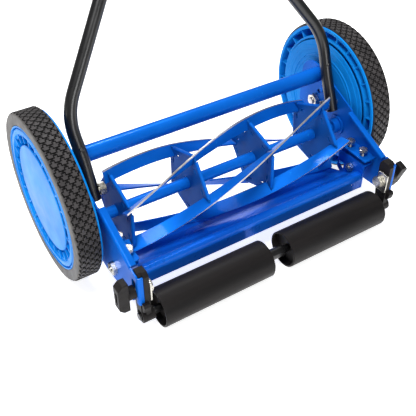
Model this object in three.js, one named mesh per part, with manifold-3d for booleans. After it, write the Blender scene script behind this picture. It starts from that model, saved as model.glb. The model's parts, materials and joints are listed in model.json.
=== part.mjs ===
// A hand-pushed reel mower: millimetres, +Z up, +Y the way it is pushed, +X to the pusher's right.
// While it is built, the origin is midway between the wheels, 125 mm under their axles, and the mower is
// about a degree off level. At the end the whole model is levelled, and moved so that the origin is at
// the centre of the bottom of its box.

import * as THREE from 'three';
import { mergeVertices } from 'three/addons/utils/BufferGeometryUtils.js';
import Module from 'manifold-3d';

const wasm = await Module();
wasm.setup();

// ---- driving dimensions ----------------------------------------------------------------------------

const GAP = 0.3;                       // between pieces that rest on each other

const WHEEL_R = 128.5;                 // over the tyre
const WHEEL_IN = 241.5;                // inner and outer face of a wheel, from the middle of the mower
const WHEEL_OUT = 279.5;
const WHEEL_SIDES = 24;
const AXLE = { y: 0, z: 125 };
const JOURNAL_R = 8;
const HUB_BORE_R = JOURNAL_R + GAP;
const WEB_IN = 262;
const WEB_OUT = 265.2;

const REEL = { y: -59.2, z: 106 };     // axis of the reel
const REEL_R = 66.4;                   // to the cutting edges
const BLADE_COUNT = 5;
const BLADE_HALF = 197.5;
const BLADE_DEPTH = 20.4;
const BLADE_THICK = 3;
const BLADE_START = THREE.MathUtils.degToRad(76);       // first blade at its left end, from +Y to +Z
const BLADE_TWIST = THREE.MathUtils.degToRad(-124.5);   // over the whole length, left to right
const SPIDER_X = [-191, -69.5, 52, 173.5];
const SPIDER_R = 64;
const SPIDER_LIP = 4.5;
const SPIDER_PLATE = 2.5;
const SHAFT_R = 9;
const SHAFT_END_R = 6;
const SHAFT_END = 261;

const RING_TEETH = 55;
const PINION_TEETH = 10;
const CENTRE_DISTANCE = Math.hypot(REEL.y - AXLE.y, REEL.z - AXLE.z);
const MODULE = (2 * CENTRE_DISTANCE) / (RING_TEETH - PINION_TEETH);
const GEAR_IN = 248;                   // inner end of the ring gear's teeth

const PLATE_IN = 227.6;                // inner and outer face of a side plate
const PLATE_OUT = 230.4;
const TOP_EDGE = { z: 187.6, slope: 0.43 };              // the plate's top edge: z at y = 0, and its fall
const FLANGE_IN = 219;                 // folded top edge of a side plate, inner side
const SLOT = { y: -187.5, half: 5, top: 98 };

const CROSS_TUBE = { y: 0, z: 175, r: 12.5 };
const BED_PIVOT = { y: -129, z: 70 };
const KNIFE_EDGE = { y: -56, z: 39.2 };
const SCREW_X = 213;
const SCREW_Y = { rear: -142, front: -112 };
const LEDGE = { bottom: 95, top: 98, inner: 204 };

const ROLLER = { y: -194, z: 29, r: 29, inner: 17, outer: 201.7 };
const HEIGHT_BOLT = { y: SLOT.y, z: 75.5 };
const BRACKET_IN = 214;
const PLATE_REAR = { inner: 222.5, y: -201, bottom: 57 };   // flange along a side plate's rear edge

const HANDLE_TUBE_R = 9.4;
const HANDLE_HINGE = { y: -49, z: 146 };
const HANDLE_LEAN = THREE.MathUtils.degToRad(23.4);     // forward of upright, against the stops
const HANDLE_FOOT_X = 217.8;
const HANDLE_BEND_X = 222;
const HANDLE_NARROW_X = 34;
const HANDLE_SPREAD = 45;              // heights along the handle, from its hinge
const HANDLE_BEND = 113;
const HANDLE_NARROW = 398;
const HANDLE_LOWER_TOP = 560;
const HANDLE_UPPER_FOOT = 455;
const HANDLE_FLARE = 650;
const HANDLE_SHOULDER = 845;
const HANDLE_TOP = 985;
const HANDLE_GRIP_X = 190;
const HANDLE_BOLTS = [480, 535];
const UPPER_BACK = -(2 * HANDLE_TUBE_R + GAP);          // the upper handle lies behind the lower tubes
const GRIP = { r: 16, half: 120 };

// ---- materials -------------------------------------------------------------------------------------

function finish(color, roughness, metalness) {
  return new THREE.MeshStandardMaterial({ color, roughness, metalness });
}

const bluePaint = () => finish(0x0a50d6, 0.35, 0.2);
const bluePlastic = () => finish(0x1f6fe0, 0.4, 0);
const blackPaint = () => finish(0x16161a, 0.3, 0.2);
const blackPlastic = () => finish(0x242426, 0.5, 0);
const rubber = () => finish(0x3b393c, 0.85, 0);
const foam = () => finish(0x1b1b1c, 0.95, 0);
const zinc = () => finish(0xc9c8c0, 0.35, 0.9);
const steel = () => finish(0x9c9a98, 0.35, 0.95);

// ---- geometry helpers ------------------------------------------------------------------------------

// One closed mesh with shared corners and its faces pointing out.
function closed(geometry) {
  const bare = geometry.clone();
  bare.deleteAttribute('normal');
  bare.deleteAttribute('uv');
  const merged = mergeVertices(bare, 1e-3);
  const corner = [0, 1, 2].map(() => new THREE.Vector3());
  const place = merged.attributes.position;
  const index = Array.from(merged.index.array);
  const kept = [];
  let volume = 0;
  for (let i = 0; i < index.length; i += 3) {
    const [a, b, c] = index.slice(i, i + 3);
    if (a === b || b === c || c === a) continue;
    corner.forEach((point, k) => point.fromBufferAttribute(place, index[i + k]));
    volume += corner[0].dot(corner[1].cross(corner[2]));
    kept.push(a, b, c);
  }
  if (volume < 0) kept.reverse();
  merged.setIndex(kept);
  return merged;
}

function solid(geometry) {
  const mesh = closed(geometry);
  return new wasm.Manifold(new wasm.Mesh({
    numProp: 3,
    vertProperties: Float32Array.from(mesh.attributes.position.array),
    triVerts: Uint32Array.from(mesh.index.array),
  }));
}

function geometryOf(manifold) {
  const mesh = manifold.getMesh();
  const geometry = new THREE.BufferGeometry();
  geometry.setAttribute('position', new THREE.BufferAttribute(Float32Array.from(mesh.vertProperties), 3));
  geometry.setIndex(Array.from(mesh.triVerts));
  return geometry;
}

function joined(...geometries) {
  return geometryOf(geometries.map(solid).reduce((whole, piece) => whole.add(piece)));
}

function cut(geometry, ...tools) {
  return geometryOf(tools.map(solid).reduce((rest, tool) => rest.subtract(tool), solid(geometry)));
}

// A shape drawn in (y, z) becomes a slab between two places along X.
function slab(shape, from, to, curveSegments = 4) {
  const geometry = new THREE.ExtrudeGeometry(shape, { depth: to - from, bevelEnabled: false, curveSegments });
  const toRow = new THREE.Matrix4().makeBasis(
    new THREE.Vector3(0, 1, 0), new THREE.Vector3(0, 0, 1), new THREE.Vector3(1, 0, 0));
  return geometry.applyMatrix4(toRow).translate(from, 0, 0);
}

function outline(points) {
  return new THREE.Shape(points.map(([y, z]) => new THREE.Vector2(y, z)));
}

// The flats of a round outline are as far from its middle as its radius says.
function circlePoints(y, z, radius, sides) {
  const r = radius / Math.cos(Math.PI / sides);
  const points = [];
  for (let i = 0; i < sides; i += 1) {
    const angle = ((i + 0.5) / sides) * 2 * Math.PI;
    points.push([y + r * Math.cos(angle), z + r * Math.sin(angle)]);
  }
  return points;
}

function hole(y, z, r, sides = 12) {
  return new THREE.Path(circlePoints(y, z, r, sides).map(([u, v]) => new THREE.Vector2(u, v)));
}

// A round bar along X.
function bar(axis, r, from, to, sides = 12) {
  return slab(outline(circlePoints(axis.y, axis.z, r, sides)), from, to);
}

// A profile of [radius, x] points turned about an axis along X. Flats, not corners, face down, and the
// flats are as far from the axis as the profile says, so that round things stand on the ground.
function turned(profile, axis, sides) {
  const spread = 1 / Math.cos(Math.PI / sides);
  const points = profile.map(([r, x]) => new THREE.Vector2(r * spread, x));
  return new THREE.LatheGeometry(points, sides, Math.PI / sides)
    .rotateZ(-Math.PI / 2)
    .translate(0, axis.y, axis.z);
}

function ringProfile(points) {
  return [...points, points[0]];
}

function mirrored(geometry) {
  return closed(geometry.clone().scale(-1, 1, 1));
}

// A path through a list of places, which are close together only where it bends.
class Stations extends THREE.Curve {
  constructor(places) {
    super();
    this.places = places;
  }

  getPoint(t, target = new THREE.Vector3()) {
    const along = THREE.MathUtils.clamp(t, 0, 1) * (this.places.length - 1);
    const i = Math.min(Math.floor(along), this.places.length - 2);
    return target.copy(this.places[i]).lerp(this.places[i + 1], along - i);
  }

  getPointAt(t, target) {
    return this.getPoint(t, target);
  }

  getTangentAt(t, target) {
    return this.getTangent(t, target);
  }
}

// Straight runs with round corners; each corner is [point, bend radius].
function bentPath(start, corners, end) {
  const stepsPerBend = 4;
  const places = [start];
  corners.forEach(([corner, radius], i) => {
    const before = i > 0 ? corners[i - 1][0] : start;
    const after = i + 1 < corners.length ? corners[i + 1][0] : end;
    const back = before.clone().sub(corner).normalize();
    const ahead = after.clone().sub(corner).normalize();
    const reach = radius / Math.tan(back.angleTo(ahead) / 2);
    const bend = new THREE.QuadraticBezierCurve3(
      corner.clone().addScaledVector(back, reach), corner, corner.clone().addScaledVector(ahead, reach));
    places.push(...bend.getPoints(stepsPerBend));
  });
  places.push(end);
  return new Stations(places);
}

function tubeAlong(path) {
  const [outer, inner] = [HANDLE_TUBE_R * Math.cos(Math.PI / 10), HANDLE_TUBE_R - 2];
  const section = outline(circlePoints(0, 0, outer, 10));
  section.holes.push(hole(0, 0, inner, 6));
  return new THREE.ExtrudeGeometry(section, { steps: path.places.length - 1, extrudePath: path });
}

// ---- the model -------------------------------------------------------------------------------------

const mower = new THREE.Group();
const handle = new THREE.Group();
handle.position.set(0, HANDLE_HINGE.y, HANDLE_HINGE.z);
handle.rotation.x = -HANDLE_LEAN;
mower.add(handle);

function piece(name, geometry, material, parent = mower) {
  const mesh = new THREE.Mesh(closed(geometry), material);
  mesh.name = name;
  parent.add(mesh);
}

// A piece made for the right side, and its mirror image for the left.
function pair(name, geometry, material, parent = mower) {
  piece(`${name}_right`, geometry, material(), parent);
  piece(`${name}_left`, mirrored(geometry), material(), parent);
}

// ---- frame -----------------------------------------------------------------------------------------

const topEdge = (y) => TOP_EDGE.z + TOP_EDGE.slope * y;

function sidePlate() {
  const nose = { y: 12, z: 162, r: 30 };
  const plate = new THREE.Shape();
  plate.moveTo(nose.y + nose.r, 108);
  plate.lineTo(nose.y + nose.r, nose.z);
  plate.absarc(nose.y, nose.z, nose.r, 0, THREE.MathUtils.degToRad(113));
  plate.lineTo(-177, topEdge(-177));
  plate.lineTo(PLATE_REAR.y, topEdge(-185));
  plate.lineTo(PLATE_REAR.y, PLATE_REAR.bottom);
  plate.lineTo(SLOT.y - SLOT.half, PLATE_REAR.bottom);
  plate.lineTo(SLOT.y - SLOT.half, SLOT.top - SLOT.half);
  plate.absarc(SLOT.y, SLOT.top - SLOT.half, SLOT.half, Math.PI, 0, true);
  plate.lineTo(SLOT.y + SLOT.half, 52);
  plate.lineTo(-172, 45);
  plate.lineTo(-100, 42);
  plate.lineTo(-10, 62);
  plate.lineTo(24, 84);
  plate.holes.push(
    hole(AXLE.y, AXLE.z, 6.4),
    hole(REEL.y, REEL.z, 15.3),
    hole(CROSS_TUBE.y, CROSS_TUBE.z, 4.4, 8),
    hole(HANDLE_HINGE.y, HANDLE_HINGE.z, 5.4),
    hole(BED_PIVOT.y, BED_PIVOT.z, 4.6),
    hole(-6, 144, 4, 8),
    hole(-15, 158, 3.5, 8),
    hole(17, 117, 3, 8));
  const web = slab(plate, PLATE_IN, PLATE_OUT);

  const thick = PLATE_OUT - PLATE_IN;
  const flange = slab(outline([
    [-90, topEdge(-90)], [-177, topEdge(-177)], [-177, topEdge(-177) - thick], [-90, topEdge(-90) - thick],
  ]), FLANGE_IN, PLATE_IN + 0.5);
  const rearTop = topEdge(-185);
  const rearFlange = slab(outline([
    [PLATE_REAR.y, PLATE_REAR.bottom], [PLATE_REAR.y + thick, PLATE_REAR.bottom],
    [PLATE_REAR.y + thick, rearTop], [PLATE_REAR.y, rearTop],
  ]), PLATE_REAR.inner, PLATE_IN + 0.5);

  const ledge = slab(outline([
    [-98, LEDGE.bottom], [-98, LEDGE.top], [-158, LEDGE.top], [-158, LEDGE.bottom],
  ]), LEDGE.inner, PLATE_IN + 0.5);

  const alongHandle = 22;
  const beside = HANDLE_TUBE_R + 4.4;
  const stop = {
    y: HANDLE_HINGE.y + alongHandle * Math.sin(HANDLE_LEAN) + beside * Math.cos(HANDLE_LEAN),
    z: HANDLE_HINGE.z + alongHandle * Math.cos(HANDLE_LEAN) - beside * Math.sin(HANDLE_LEAN),
  };
  const stud = bar(stop, 4, 212, PLATE_IN + 0.5, 8);

  const drills = Object.values(SCREW_Y).map((y) => new THREE.CylinderGeometry(3.5, 3.5, 20, 8)
    .rotateX(Math.PI / 2)
    .translate(SCREW_X, y, LEDGE.top));
  return cut(joined(web, flange, rearFlange, ledge, stud), ...drills);
}

function crossTube() {
  const end = PLATE_IN - GAP;
  const plug = end - 8;
  return turned(ringProfile([
    [4.6, -end], [CROSS_TUBE.r, -end], [CROSS_TUBE.r, end], [4.6, end],
    [4.6, plug], [11, plug], [11, -plug], [4.6, -plug],
  ]), CROSS_TUBE, 16);
}

function crossTubeBolt() {
  const head = bar(CROSS_TUBE, 7.5, PLATE_OUT + GAP, PLATE_OUT + 5, 6);
  return joined(head, bar(CROSS_TUBE, 4, 221, PLATE_OUT + 1, 8));
}

pair('side_plate', sidePlate(), bluePaint);
piece('cross_tube', crossTube(), bluePaint());
pair('cross_tube_bolt', crossTubeBolt(), zinc);

// ---- axles and wheels ------------------------------------------------------------------------------

function axle() {
  return turned([
    [0, 216], [6, 216], [6, PLATE_OUT + GAP], [11, PLATE_OUT + GAP], [11, 239.5], [JOURNAL_R, 239.5],
    [JOURNAL_R, 271.6], [12, 271.6], [12, 274], [0, 274],
  ], AXLE, 12);
}

function axleNut() {
  const nut = outline(circlePoints(AXLE.y, AXLE.z, 10, 6));
  nut.holes.push(hole(AXLE.y, AXLE.z, 6.5));
  return slab(nut, 219, PLATE_IN - GAP);
}

// Still cover over the gears, on the inner side of a wheel, with one raised ring.
function gearCover() {
  const disc = turned(ringProfile([
    [HUB_BORE_R, 242], [100.8, 242], [100.8, 239.8], [92.5, 239.8], [91.5, 238.2], [86.4, 238.2], [85.4, 239.8],
    [HUB_BORE_R, 239.8],
  ]), AXLE, WHEEL_SIDES);
  return cut(disc, bar(REEL, 9, 230, 250, 8));
}

function gearOutline(axis, teeth, pitchR, tipR, rootR, toothCentre) {
  const pitch = (2 * Math.PI) / teeth;
  const slopes = [[rootR, -0.29], [tipR, -0.13], [tipR, 0.13], [rootR, 0.29]];
  const points = [];
  for (let i = 0; i < teeth; i += 1) {
    for (const [r, share] of slopes) {
      const angle = toothCentre + (i + share) * pitch;
      points.push([axis.y + r * Math.cos(angle), axis.z + r * Math.sin(angle)]);
    }
  }
  return points;
}

const MESH_ANGLE = Math.atan2(REEL.z - AXLE.z, REEL.y - AXLE.y);
const RING_PITCH_R = (MODULE * RING_TEETH) / 2;
const PINION_PITCH_R = (MODULE * PINION_TEETH) / 2;

function ringGear() {
  const ring = outline(circlePoints(AXLE.y, AXLE.z, 84.5, WHEEL_SIDES));
  const toothCentre = MESH_ANGLE + Math.PI / RING_TEETH;
  const teeth = gearOutline(AXLE, RING_TEETH, RING_PITCH_R,
    RING_PITCH_R - 0.72 * MODULE, RING_PITCH_R + 0.95 * MODULE, toothCentre);
  ring.holes.push(new THREE.Path(teeth.map(([y, z]) => new THREE.Vector2(y, z))));
  return slab(ring, GEAR_IN, WEB_IN + 0.5);
}

function pinion() {
  const teeth = gearOutline(REEL, PINION_TEETH, PINION_PITCH_R,
    PINION_PITCH_R + 0.72 * MODULE, PINION_PITCH_R - 0.95 * MODULE, MESH_ANGLE);
  const gear = outline(teeth);
  gear.holes.push(hole(REEL.y, REEL.z, SHAFT_END_R + GAP));
  return slab(gear, GEAR_IN, 260);
}

function radialBoxes(count, rIn, rOut, xIn, xOut, thick) {
  const boxes = [];
  for (let i = 0; i < count; i += 1) {
    boxes.push(new THREE.BoxGeometry(xOut - xIn, thick, rOut - rIn)
      .translate((xIn + xOut) / 2, 0, (rIn + rOut) / 2)
      .rotateX(((i + 0.5) / count) * 2 * Math.PI)
      .translate(0, AXLE.y, AXLE.z));
  }
  return boxes;
}

function wheel() {
  const body = turned(ringProfile([
    [HUB_BORE_R, 244], [17, 244], [17, WEB_IN], [102.8, WEB_IN], [102.8, 243.2], [106.9, 243.2], [106.9, 268],
    [119.2, 268], [119.2, WHEEL_IN], [124.4, WHEEL_IN], [124.4, 244.2], [122.1, 244.2], [122.1, 275.2],
    [109.4, 275.2], [109.4, 279.2], [97.1, 279.2], [97.1, WEB_OUT], [17, WEB_OUT], [17, 271.2],
    [HUB_BORE_R, 271.2],
  ]), AXLE, WHEEL_SIDES);
  const innerRibs = radialBoxes(8, 105.9, 120.2, 243.5, 269, 2.4);
  const outerRibs = radialBoxes(8, 83, 98.1, WEB_OUT - 0.5, 277.5, 2.4);
  return joined(body, ringGear(), ...innerRibs, ...outerRibs);
}

function tyre() {
  return turned(ringProfile([
    [122.4, 244.6], [126.9, 244.6], [WHEEL_R, 246.5], [WHEEL_R, 275.5], [126, WHEEL_OUT],
    [109.8, WHEEL_OUT], [109.8, 275.6], [122.4, 275.6],
  ]), AXLE, WHEEL_SIDES);
}

function wheelCover() {
  return turned([
    [0, 278.6], [79.2, 277.2], [80.8, 275.6], [78.2, 275], [78.2, WEB_OUT + GAP], [75.7, WEB_OUT + GAP],
    [75.7, 275], [0, 275],
  ], AXLE, WHEEL_SIDES);
}

pair('axle', axle(), steel);
pair('axle_nut', axleNut(), zinc);
pair('gear_cover', gearCover(), bluePlastic);
pair('wheel', wheel(), bluePlastic);
pair('tyre', tyre(), rubber);
pair('wheel_cover', wheelCover(), bluePlastic);

// ---- reel ------------------------------------------------------------------------------------------

function reelShaft() {
  const shoulder = 212;
  return turned([
    [0, -SHAFT_END], [SHAFT_END_R, -SHAFT_END], [SHAFT_END_R, -shoulder], [SHAFT_R, -shoulder],
    [SHAFT_R, shoulder], [SHAFT_END_R, shoulder], [SHAFT_END_R, SHAFT_END], [0, SHAFT_END],
  ], REEL, 12);
}

const bladeAngle = (x) => BLADE_START + (BLADE_TWIST * (x + BLADE_HALF)) / (2 * BLADE_HALF);

// A straight strip with its edge away from the reel's axis, twisted about that axis.
function reelBlade(number) {
  const strip = new THREE.BoxGeometry(2 * BLADE_HALF, BLADE_DEPTH, BLADE_THICK, 24, 1, 1)
    .translate(0, REEL_R - BLADE_DEPTH / 2, 0);
  const place = strip.attributes.position;
  const axis = new THREE.Vector3(1, 0, 0);
  const point = new THREE.Vector3();
  for (let i = 0; i < place.count; i += 1) {
    point.fromBufferAttribute(place, i);
    point.applyAxisAngle(axis, bladeAngle(point.x) + (number * 2 * Math.PI) / BLADE_COUNT);
    place.setXYZ(i, point.x, point.y + REEL.y, point.z + REEL.z);
  }
  return strip;
}

// Five-sided plate with a notch for a blade at each corner, and a folded lip along each side.
function reelSpider(x) {
  const notch = BLADE_THICK / 2 + 1.4;
  const notchFloor = REEL_R - BLADE_DEPTH - 0.8;
  const points = [];
  const turn = (angle, along, across) => [
    along * Math.cos(angle) - across * Math.sin(angle), along * Math.sin(angle) + across * Math.cos(angle),
  ];
  const rim = SPIDER_R - notch * Math.tan(Math.PI / BLADE_COUNT);
  for (let i = 0; i < BLADE_COUNT; i += 1) {
    const angle = (i * 2 * Math.PI) / BLADE_COUNT;
    points.push(turn(angle, rim, -notch), turn(angle, notchFloor, -notch));
    points.push(turn(angle, notchFloor, notch), turn(angle, rim, notch));
  }
  const plate = outline(points);
  plate.holes.push(hole(0, 0, SHAFT_R + 0.5));
  const parts = [];
  const apothem = SPIDER_R * Math.cos(Math.PI / BLADE_COUNT);
  for (let i = 0; i < BLADE_COUNT; i += 1) {
    const side = ((i + 0.5) * 2 * Math.PI) / BLADE_COUNT;
    parts.push(new THREE.BoxGeometry(SPIDER_LIP, SPIDER_PLATE, 58)
      .rotateX(side)
      .translate(SPIDER_LIP / 2, ...turn(side, apothem - SPIDER_PLATE / 2, 1)));
  }
  return joined(slab(plate, 0, SPIDER_PLATE), ...parts)
    .rotateX(bladeAngle(x + SPIDER_PLATE / 2))
    .translate(x, REEL.y, REEL.z);
}

function reelBearing() {
  return turned(ringProfile([
    [SHAFT_END_R + GAP, 214], [13, 214], [13, 224.5], [17.5, 224.5], [17.5, PLATE_IN - GAP],
    [15, PLATE_IN - GAP], [15, 237.5], [SHAFT_END_R + GAP, 237.5],
  ]), REEL, 12);
}

piece('reel_shaft', reelShaft(), bluePaint());
for (let i = 0; i < BLADE_COUNT; i += 1) {
  piece(`reel_blade_${i + 1}`, reelBlade(i), bluePaint());
}
SPIDER_X.forEach((x, i) => piece(`reel_spider_${i + 1}`, reelSpider(x), bluePaint()));
pair('pinion', pinion(), steel);
pair('reel_bearing', reelBearing(), bluePaint);

// ---- bed bar and knife -----------------------------------------------------------------------------

// The outline of a bent sheet, from the line through the middle of its thickness.
function ribbon(line, thick) {
  const middle = line.map(([y, z]) => new THREE.Vector2(y, z));
  const sides = [[], []];
  middle.forEach((point, i) => {
    const before = middle[Math.max(i - 1, 0)];
    const after = middle[Math.min(i + 1, middle.length - 1)];
    const into = point.clone().sub(i > 0 ? before : after).normalize().multiplyScalar(i > 0 ? 1 : -1);
    const out = after.clone().sub(i + 1 < middle.length ? point : before).normalize();
    const mean = into.clone().add(out).normalize();
    const across = new THREE.Vector2(-mean.y, mean.x).multiplyScalar(thick / 2 / mean.dot(out));
    sides[0].push(point.clone().add(across));
    sides[1].unshift(point.clone().sub(across));
  });
  return new THREE.Shape([...sides[0], ...sides[1]]);
}

function bedBar() {
  const end = 204.6;
  const sheet = slab(ribbon([
    [-62, 37.6], [-86, 37.6], [-102, 43.5], [-130, 59], [-145, 69.5], [-153, 69.5], [-155.5, 62], [-154.5, 43],
  ], 2.6), -end - 1, end + 1);
  const ear = outline([
    [-97, 52], [-97, 88], [-156.8, 88], [-156.8, 43], [-152, 40], [-112, 40],
  ]);
  ear.holes.push(hole(BED_PIVOT.y, BED_PIVOT.z, 4.7));
  ear.holes.push(new THREE.Path([
    new THREE.Vector2(-111, 52), new THREE.Vector2(-101, 58), new THREE.Vector2(-101, 66),
    new THREE.Vector2(-113, 66),
  ]));
  const tab = outline([[-97, 85.4], [-97, 88], [-156.8, 88], [-156.8, 85.4]]);
  const ears = [];
  for (const side of [slab(ear, end, end + 3), slab(tab, end, 222)]) {
    ears.push(side, mirrored(side));
  }
  return joined(sheet, ...ears);
}

// A flat strip under the bar, with a lip in front of it that ends in the cutting edge.
function bedKnife() {
  const { y, z } = KNIFE_EDGE;
  return slab(outline([
    [y, z], [y - 5.6, z], [y - 5.6, z - 3.2], [-86, z - 3.2], [-86, z - 6.2], [y - 3, z - 6.2],
  ]), -203, 203);
}

function bedPivotBolt() {
  const shank = bar(BED_PIVOT, 4.2, 196.5, 239);
  const innerNut = bar(BED_PIVOT, 6.5, 198, 204.3, 6);
  const spacer = bar(BED_PIVOT, 7, 208, PLATE_IN - GAP);
  const outerNut = bar(BED_PIVOT, 9, PLATE_OUT + GAP, 237, 6);
  return joined(shank, innerNut, spacer, outerNut);
}

function bedScrew(y) {
  const shank = new THREE.CylinderGeometry(3, 3, 17, 8).rotateX(Math.PI / 2).translate(0, 0, 96.9);
  const head = new THREE.CylinderGeometry(6.4, 6.4, 5.5, 6).rotateX(Math.PI / 2).translate(0, 0, 107.9);
  return joined(shank, head).translate(SCREW_X, y, 0);
}

piece('bed_bar', bedBar(), bluePaint());
piece('bed_knife', bedKnife(), steel());
pair('bed_pivot_bolt', bedPivotBolt(), zinc);
for (const [place, y] of Object.entries(SCREW_Y)) {
  pair(`bed_screw_${place}`, bedScrew(y), zinc);
}

// ---- rollers and their height adjustment ------------------------------------------------------------

// A tube with a web inside each end; the webs turn on the shaft.
function roller() {
  const bore = 6.3;
  const wall = ROLLER.r - 3;
  const [near, far] = [ROLLER.inner, ROLLER.outer];
  return turned(ringProfile([
    [bore, near + 10], [wall, near + 10], [wall, near], [ROLLER.r, near], [ROLLER.r, far], [wall, far],
    [wall, far - 10], [bore, far - 10], [bore, far - 14], [wall, far - 14], [wall, near + 14],
    [bore, near + 14],
  ]), ROLLER, 16);
}

function rollerShaft() {
  const collar = ROLLER.inner - GAP;
  const end = PLATE_OUT;
  return turned([
    [0, -end], [6, -end], [6, -collar], [9, -collar], [9, collar], [6, collar], [6, end], [0, end],
  ], ROLLER, 12);
}

// Upright plate against the side plate, with a foot round the roller shaft and a lip behind the side
// plate's rear flange.
function rollerBracket() {
  const end = PLATE_IN - GAP;
  const besideFlange = PLATE_REAR.inner - GAP;
  const face = (rear) => outline([
    [-184, ROLLER.z], [-179.5, 62], [-179.5, 106], [-184, 113], [rear + 6, 113], [rear, 108], [rear, ROLLER.z],
  ]);
  const upright = slab(face(-202.5), BRACKET_IN, besideFlange);
  const outerHalf = slab(face(PLATE_REAR.y + PLATE_OUT - PLATE_IN + GAP), besideFlange - 0.5, end);
  const lip = slab(outline([
    [-201.4, 44], [-201.4, 61], [-207, 61], [-209, 57], [-207, 48],
  ]), 217, end);
  const foot = bar(ROLLER, 11, 208.5, end);
  return cut(
    joined(upright, outerHalf, lip, foot),
    bar(HEIGHT_BOLT, 4.8, BRACKET_IN - 1, end + 1),
    bar(ROLLER, 6.6, 200, end + 1));
}

// Hex head on an upright clip.
function heightBolt() {
  const face = BRACKET_IN - GAP;
  const clip = slab(outline([[-203, 60], [-183, 60], [-183, 94], [-203, 94]]), face - 2.5, face);
  const head = bar(HEIGHT_BOLT, 8.5, 205, face - 2, 6);
  return joined(clip, head, bar(HEIGHT_BOLT, 4.4, face - 1, 252));
}

// Bar with cut corners, on a round stem, turned forward from upright by an angle.
function heightKnob(angle) {
  const [half, tall, slant, face] = [8, 25.5, 9, 257];
  const grip = slab(outline([[-half, -tall], [half, -tall], [half, tall], [-half, tall]]), 241, face);
  const corners = [1, -1].map((up) => new THREE.BoxGeometry(2 * slant, 40, 2 * slant)
    .rotateY(Math.PI / 4)
    .translate(face + slant / 3, 0, up * (tall + slant / 3)));
  const middle = { y: 0, z: 0 };
  const stem = bar(middle, 9.5, PLATE_OUT + GAP, 242, 10);
  return cut(joined(grip, stem), ...corners, bar(middle, 4.8, 230, 254))
    .rotateX(-angle)
    .translate(0, HEIGHT_BOLT.y, HEIGHT_BOLT.z);
}

pair('roller', roller(), blackPlastic);
piece('roller_shaft', rollerShaft(), blackPaint());
pair('roller_bracket', rollerBracket(), blackPlastic);
pair('height_bolt', heightBolt(), zinc);
piece('height_knob_right', heightKnob(THREE.MathUtils.degToRad(-20)), blackPlastic());
piece('height_knob_left', mirrored(heightKnob(0)), blackPlastic());

// ---- handle: drawn upright from its hinge, and leaned by its group -------------------------------------

// A drill along Y; it clears a round bolt of the same radius at any turn.
function drillAlongY(r) {
  const corner = (r + GAP) / Math.cos(Math.PI / 12);
  return new THREE.CylinderGeometry(corner, corner, 30, 12);
}

function handleLower() {
  const at = (x, height) => new THREE.Vector3(x, 0, height);
  const tube = tubeAlong(bentPath(at(HANDLE_FOOT_X, -13), [
    [at(HANDLE_FOOT_X, HANDLE_SPREAD), 200], [at(HANDLE_BEND_X, HANDLE_BEND), 98],
    [at(HANDLE_NARROW_X, HANDLE_NARROW), 60],
  ], at(HANDLE_NARROW_X, HANDLE_LOWER_TOP)));
  const pivot = drillAlongY(5.2).rotateZ(Math.PI / 2).translate(HANDLE_FOOT_X, 0, 0);
  const bolts = HANDLE_BOLTS.map((height) => drillAlongY(3).translate(HANDLE_NARROW_X, 0, height));
  return cut(tube, pivot, ...bolts);
}

function handleUpper() {
  const at = (x, height) => new THREE.Vector3(x, UPPER_BACK, height);
  const rise = [
    [at(HANDLE_NARROW_X, HANDLE_FLARE), 70], [at(HANDLE_GRIP_X, HANDLE_SHOULDER), 70],
    [at(HANDLE_GRIP_X, HANDLE_TOP), 45],
  ];
  const left = rise.map(([corner, radius]) => [at(-corner.x, corner.z), radius]);
  const tube = tubeAlong(bentPath(
    at(-HANDLE_NARROW_X, HANDLE_UPPER_FOOT), [...left, ...rise.reverse()],
    at(HANDLE_NARROW_X, HANDLE_UPPER_FOOT)));
  const bolts = HANDLE_BOLTS.flatMap((height) => [1, -1].map((side) => drillAlongY(3)
    .translate(side * HANDLE_NARROW_X, UPPER_BACK, height)));
  return cut(tube, ...bolts);
}

function handleGrip() {
  const inner = HANDLE_TUBE_R + 0.6;
  return turned(ringProfile([
    [inner, -GRIP.half], [GRIP.r - 2, -GRIP.half], [GRIP.r, -GRIP.half + 3], [GRIP.r, GRIP.half - 3],
    [GRIP.r - 2, GRIP.half], [inner, GRIP.half],
  ]), { y: UPPER_BACK, z: HANDLE_TOP }, 12);
}

// Hex head in front, wing nut behind.
function handleBolt() {
  const front = HANDLE_TUBE_R + GAP;
  const back = UPPER_BACK - HANDLE_TUBE_R - GAP;
  const head = new THREE.CylinderGeometry(6, 6, 4, 6).translate(0, front + 2, 0);
  const shank = new THREE.CylinderGeometry(3, 3, front + 1 - (back - 9), 8)
    .translate(0, (front + 1 + back - 9) / 2, 0);
  const nut = new THREE.CylinderGeometry(5, 6, 6, 8).translate(0, back - 3, 0);
  const wings = [1, -1].map((side) => new THREE.BoxGeometry(11, 9, 3)
    .rotateZ(side * 0.6)
    .translate(side * 8.5, back - 7, 0));
  return joined(head, shank, nut, ...wings);
}

function handlePivotBolt() {
  const tubeIn = HANDLE_FOOT_X - HANDLE_TUBE_R;
  const nut = bar(HANDLE_HINGE, 8.5, 199, tubeIn - GAP, 6);
  const shank = bar(HANDLE_HINGE, 5, tubeIn - 1, PLATE_OUT + 1);
  const head = bar(HANDLE_HINGE, 8, PLATE_OUT + GAP, PLATE_OUT + 5, 6);
  return joined(nut, shank, head);
}

pair('handle_pivot_bolt', handlePivotBolt(), zinc);
pair('handle_lower', handleLower(), blackPaint, handle);
piece('handle_upper', handleUpper(), blackPaint(), handle);
piece('handle_grip', handleGrip(), foam(), handle);
HANDLE_BOLTS.forEach((height, i) => {
  const place = ['bottom', 'top'][i];
  pair(`handle_bolt_${place}`, handleBolt().translate(HANDLE_NARROW_X, 0, height), zinc, handle);
});

// ---- the mower is turned about X until both wheels and rollers stand on the ground ------------------------

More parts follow.
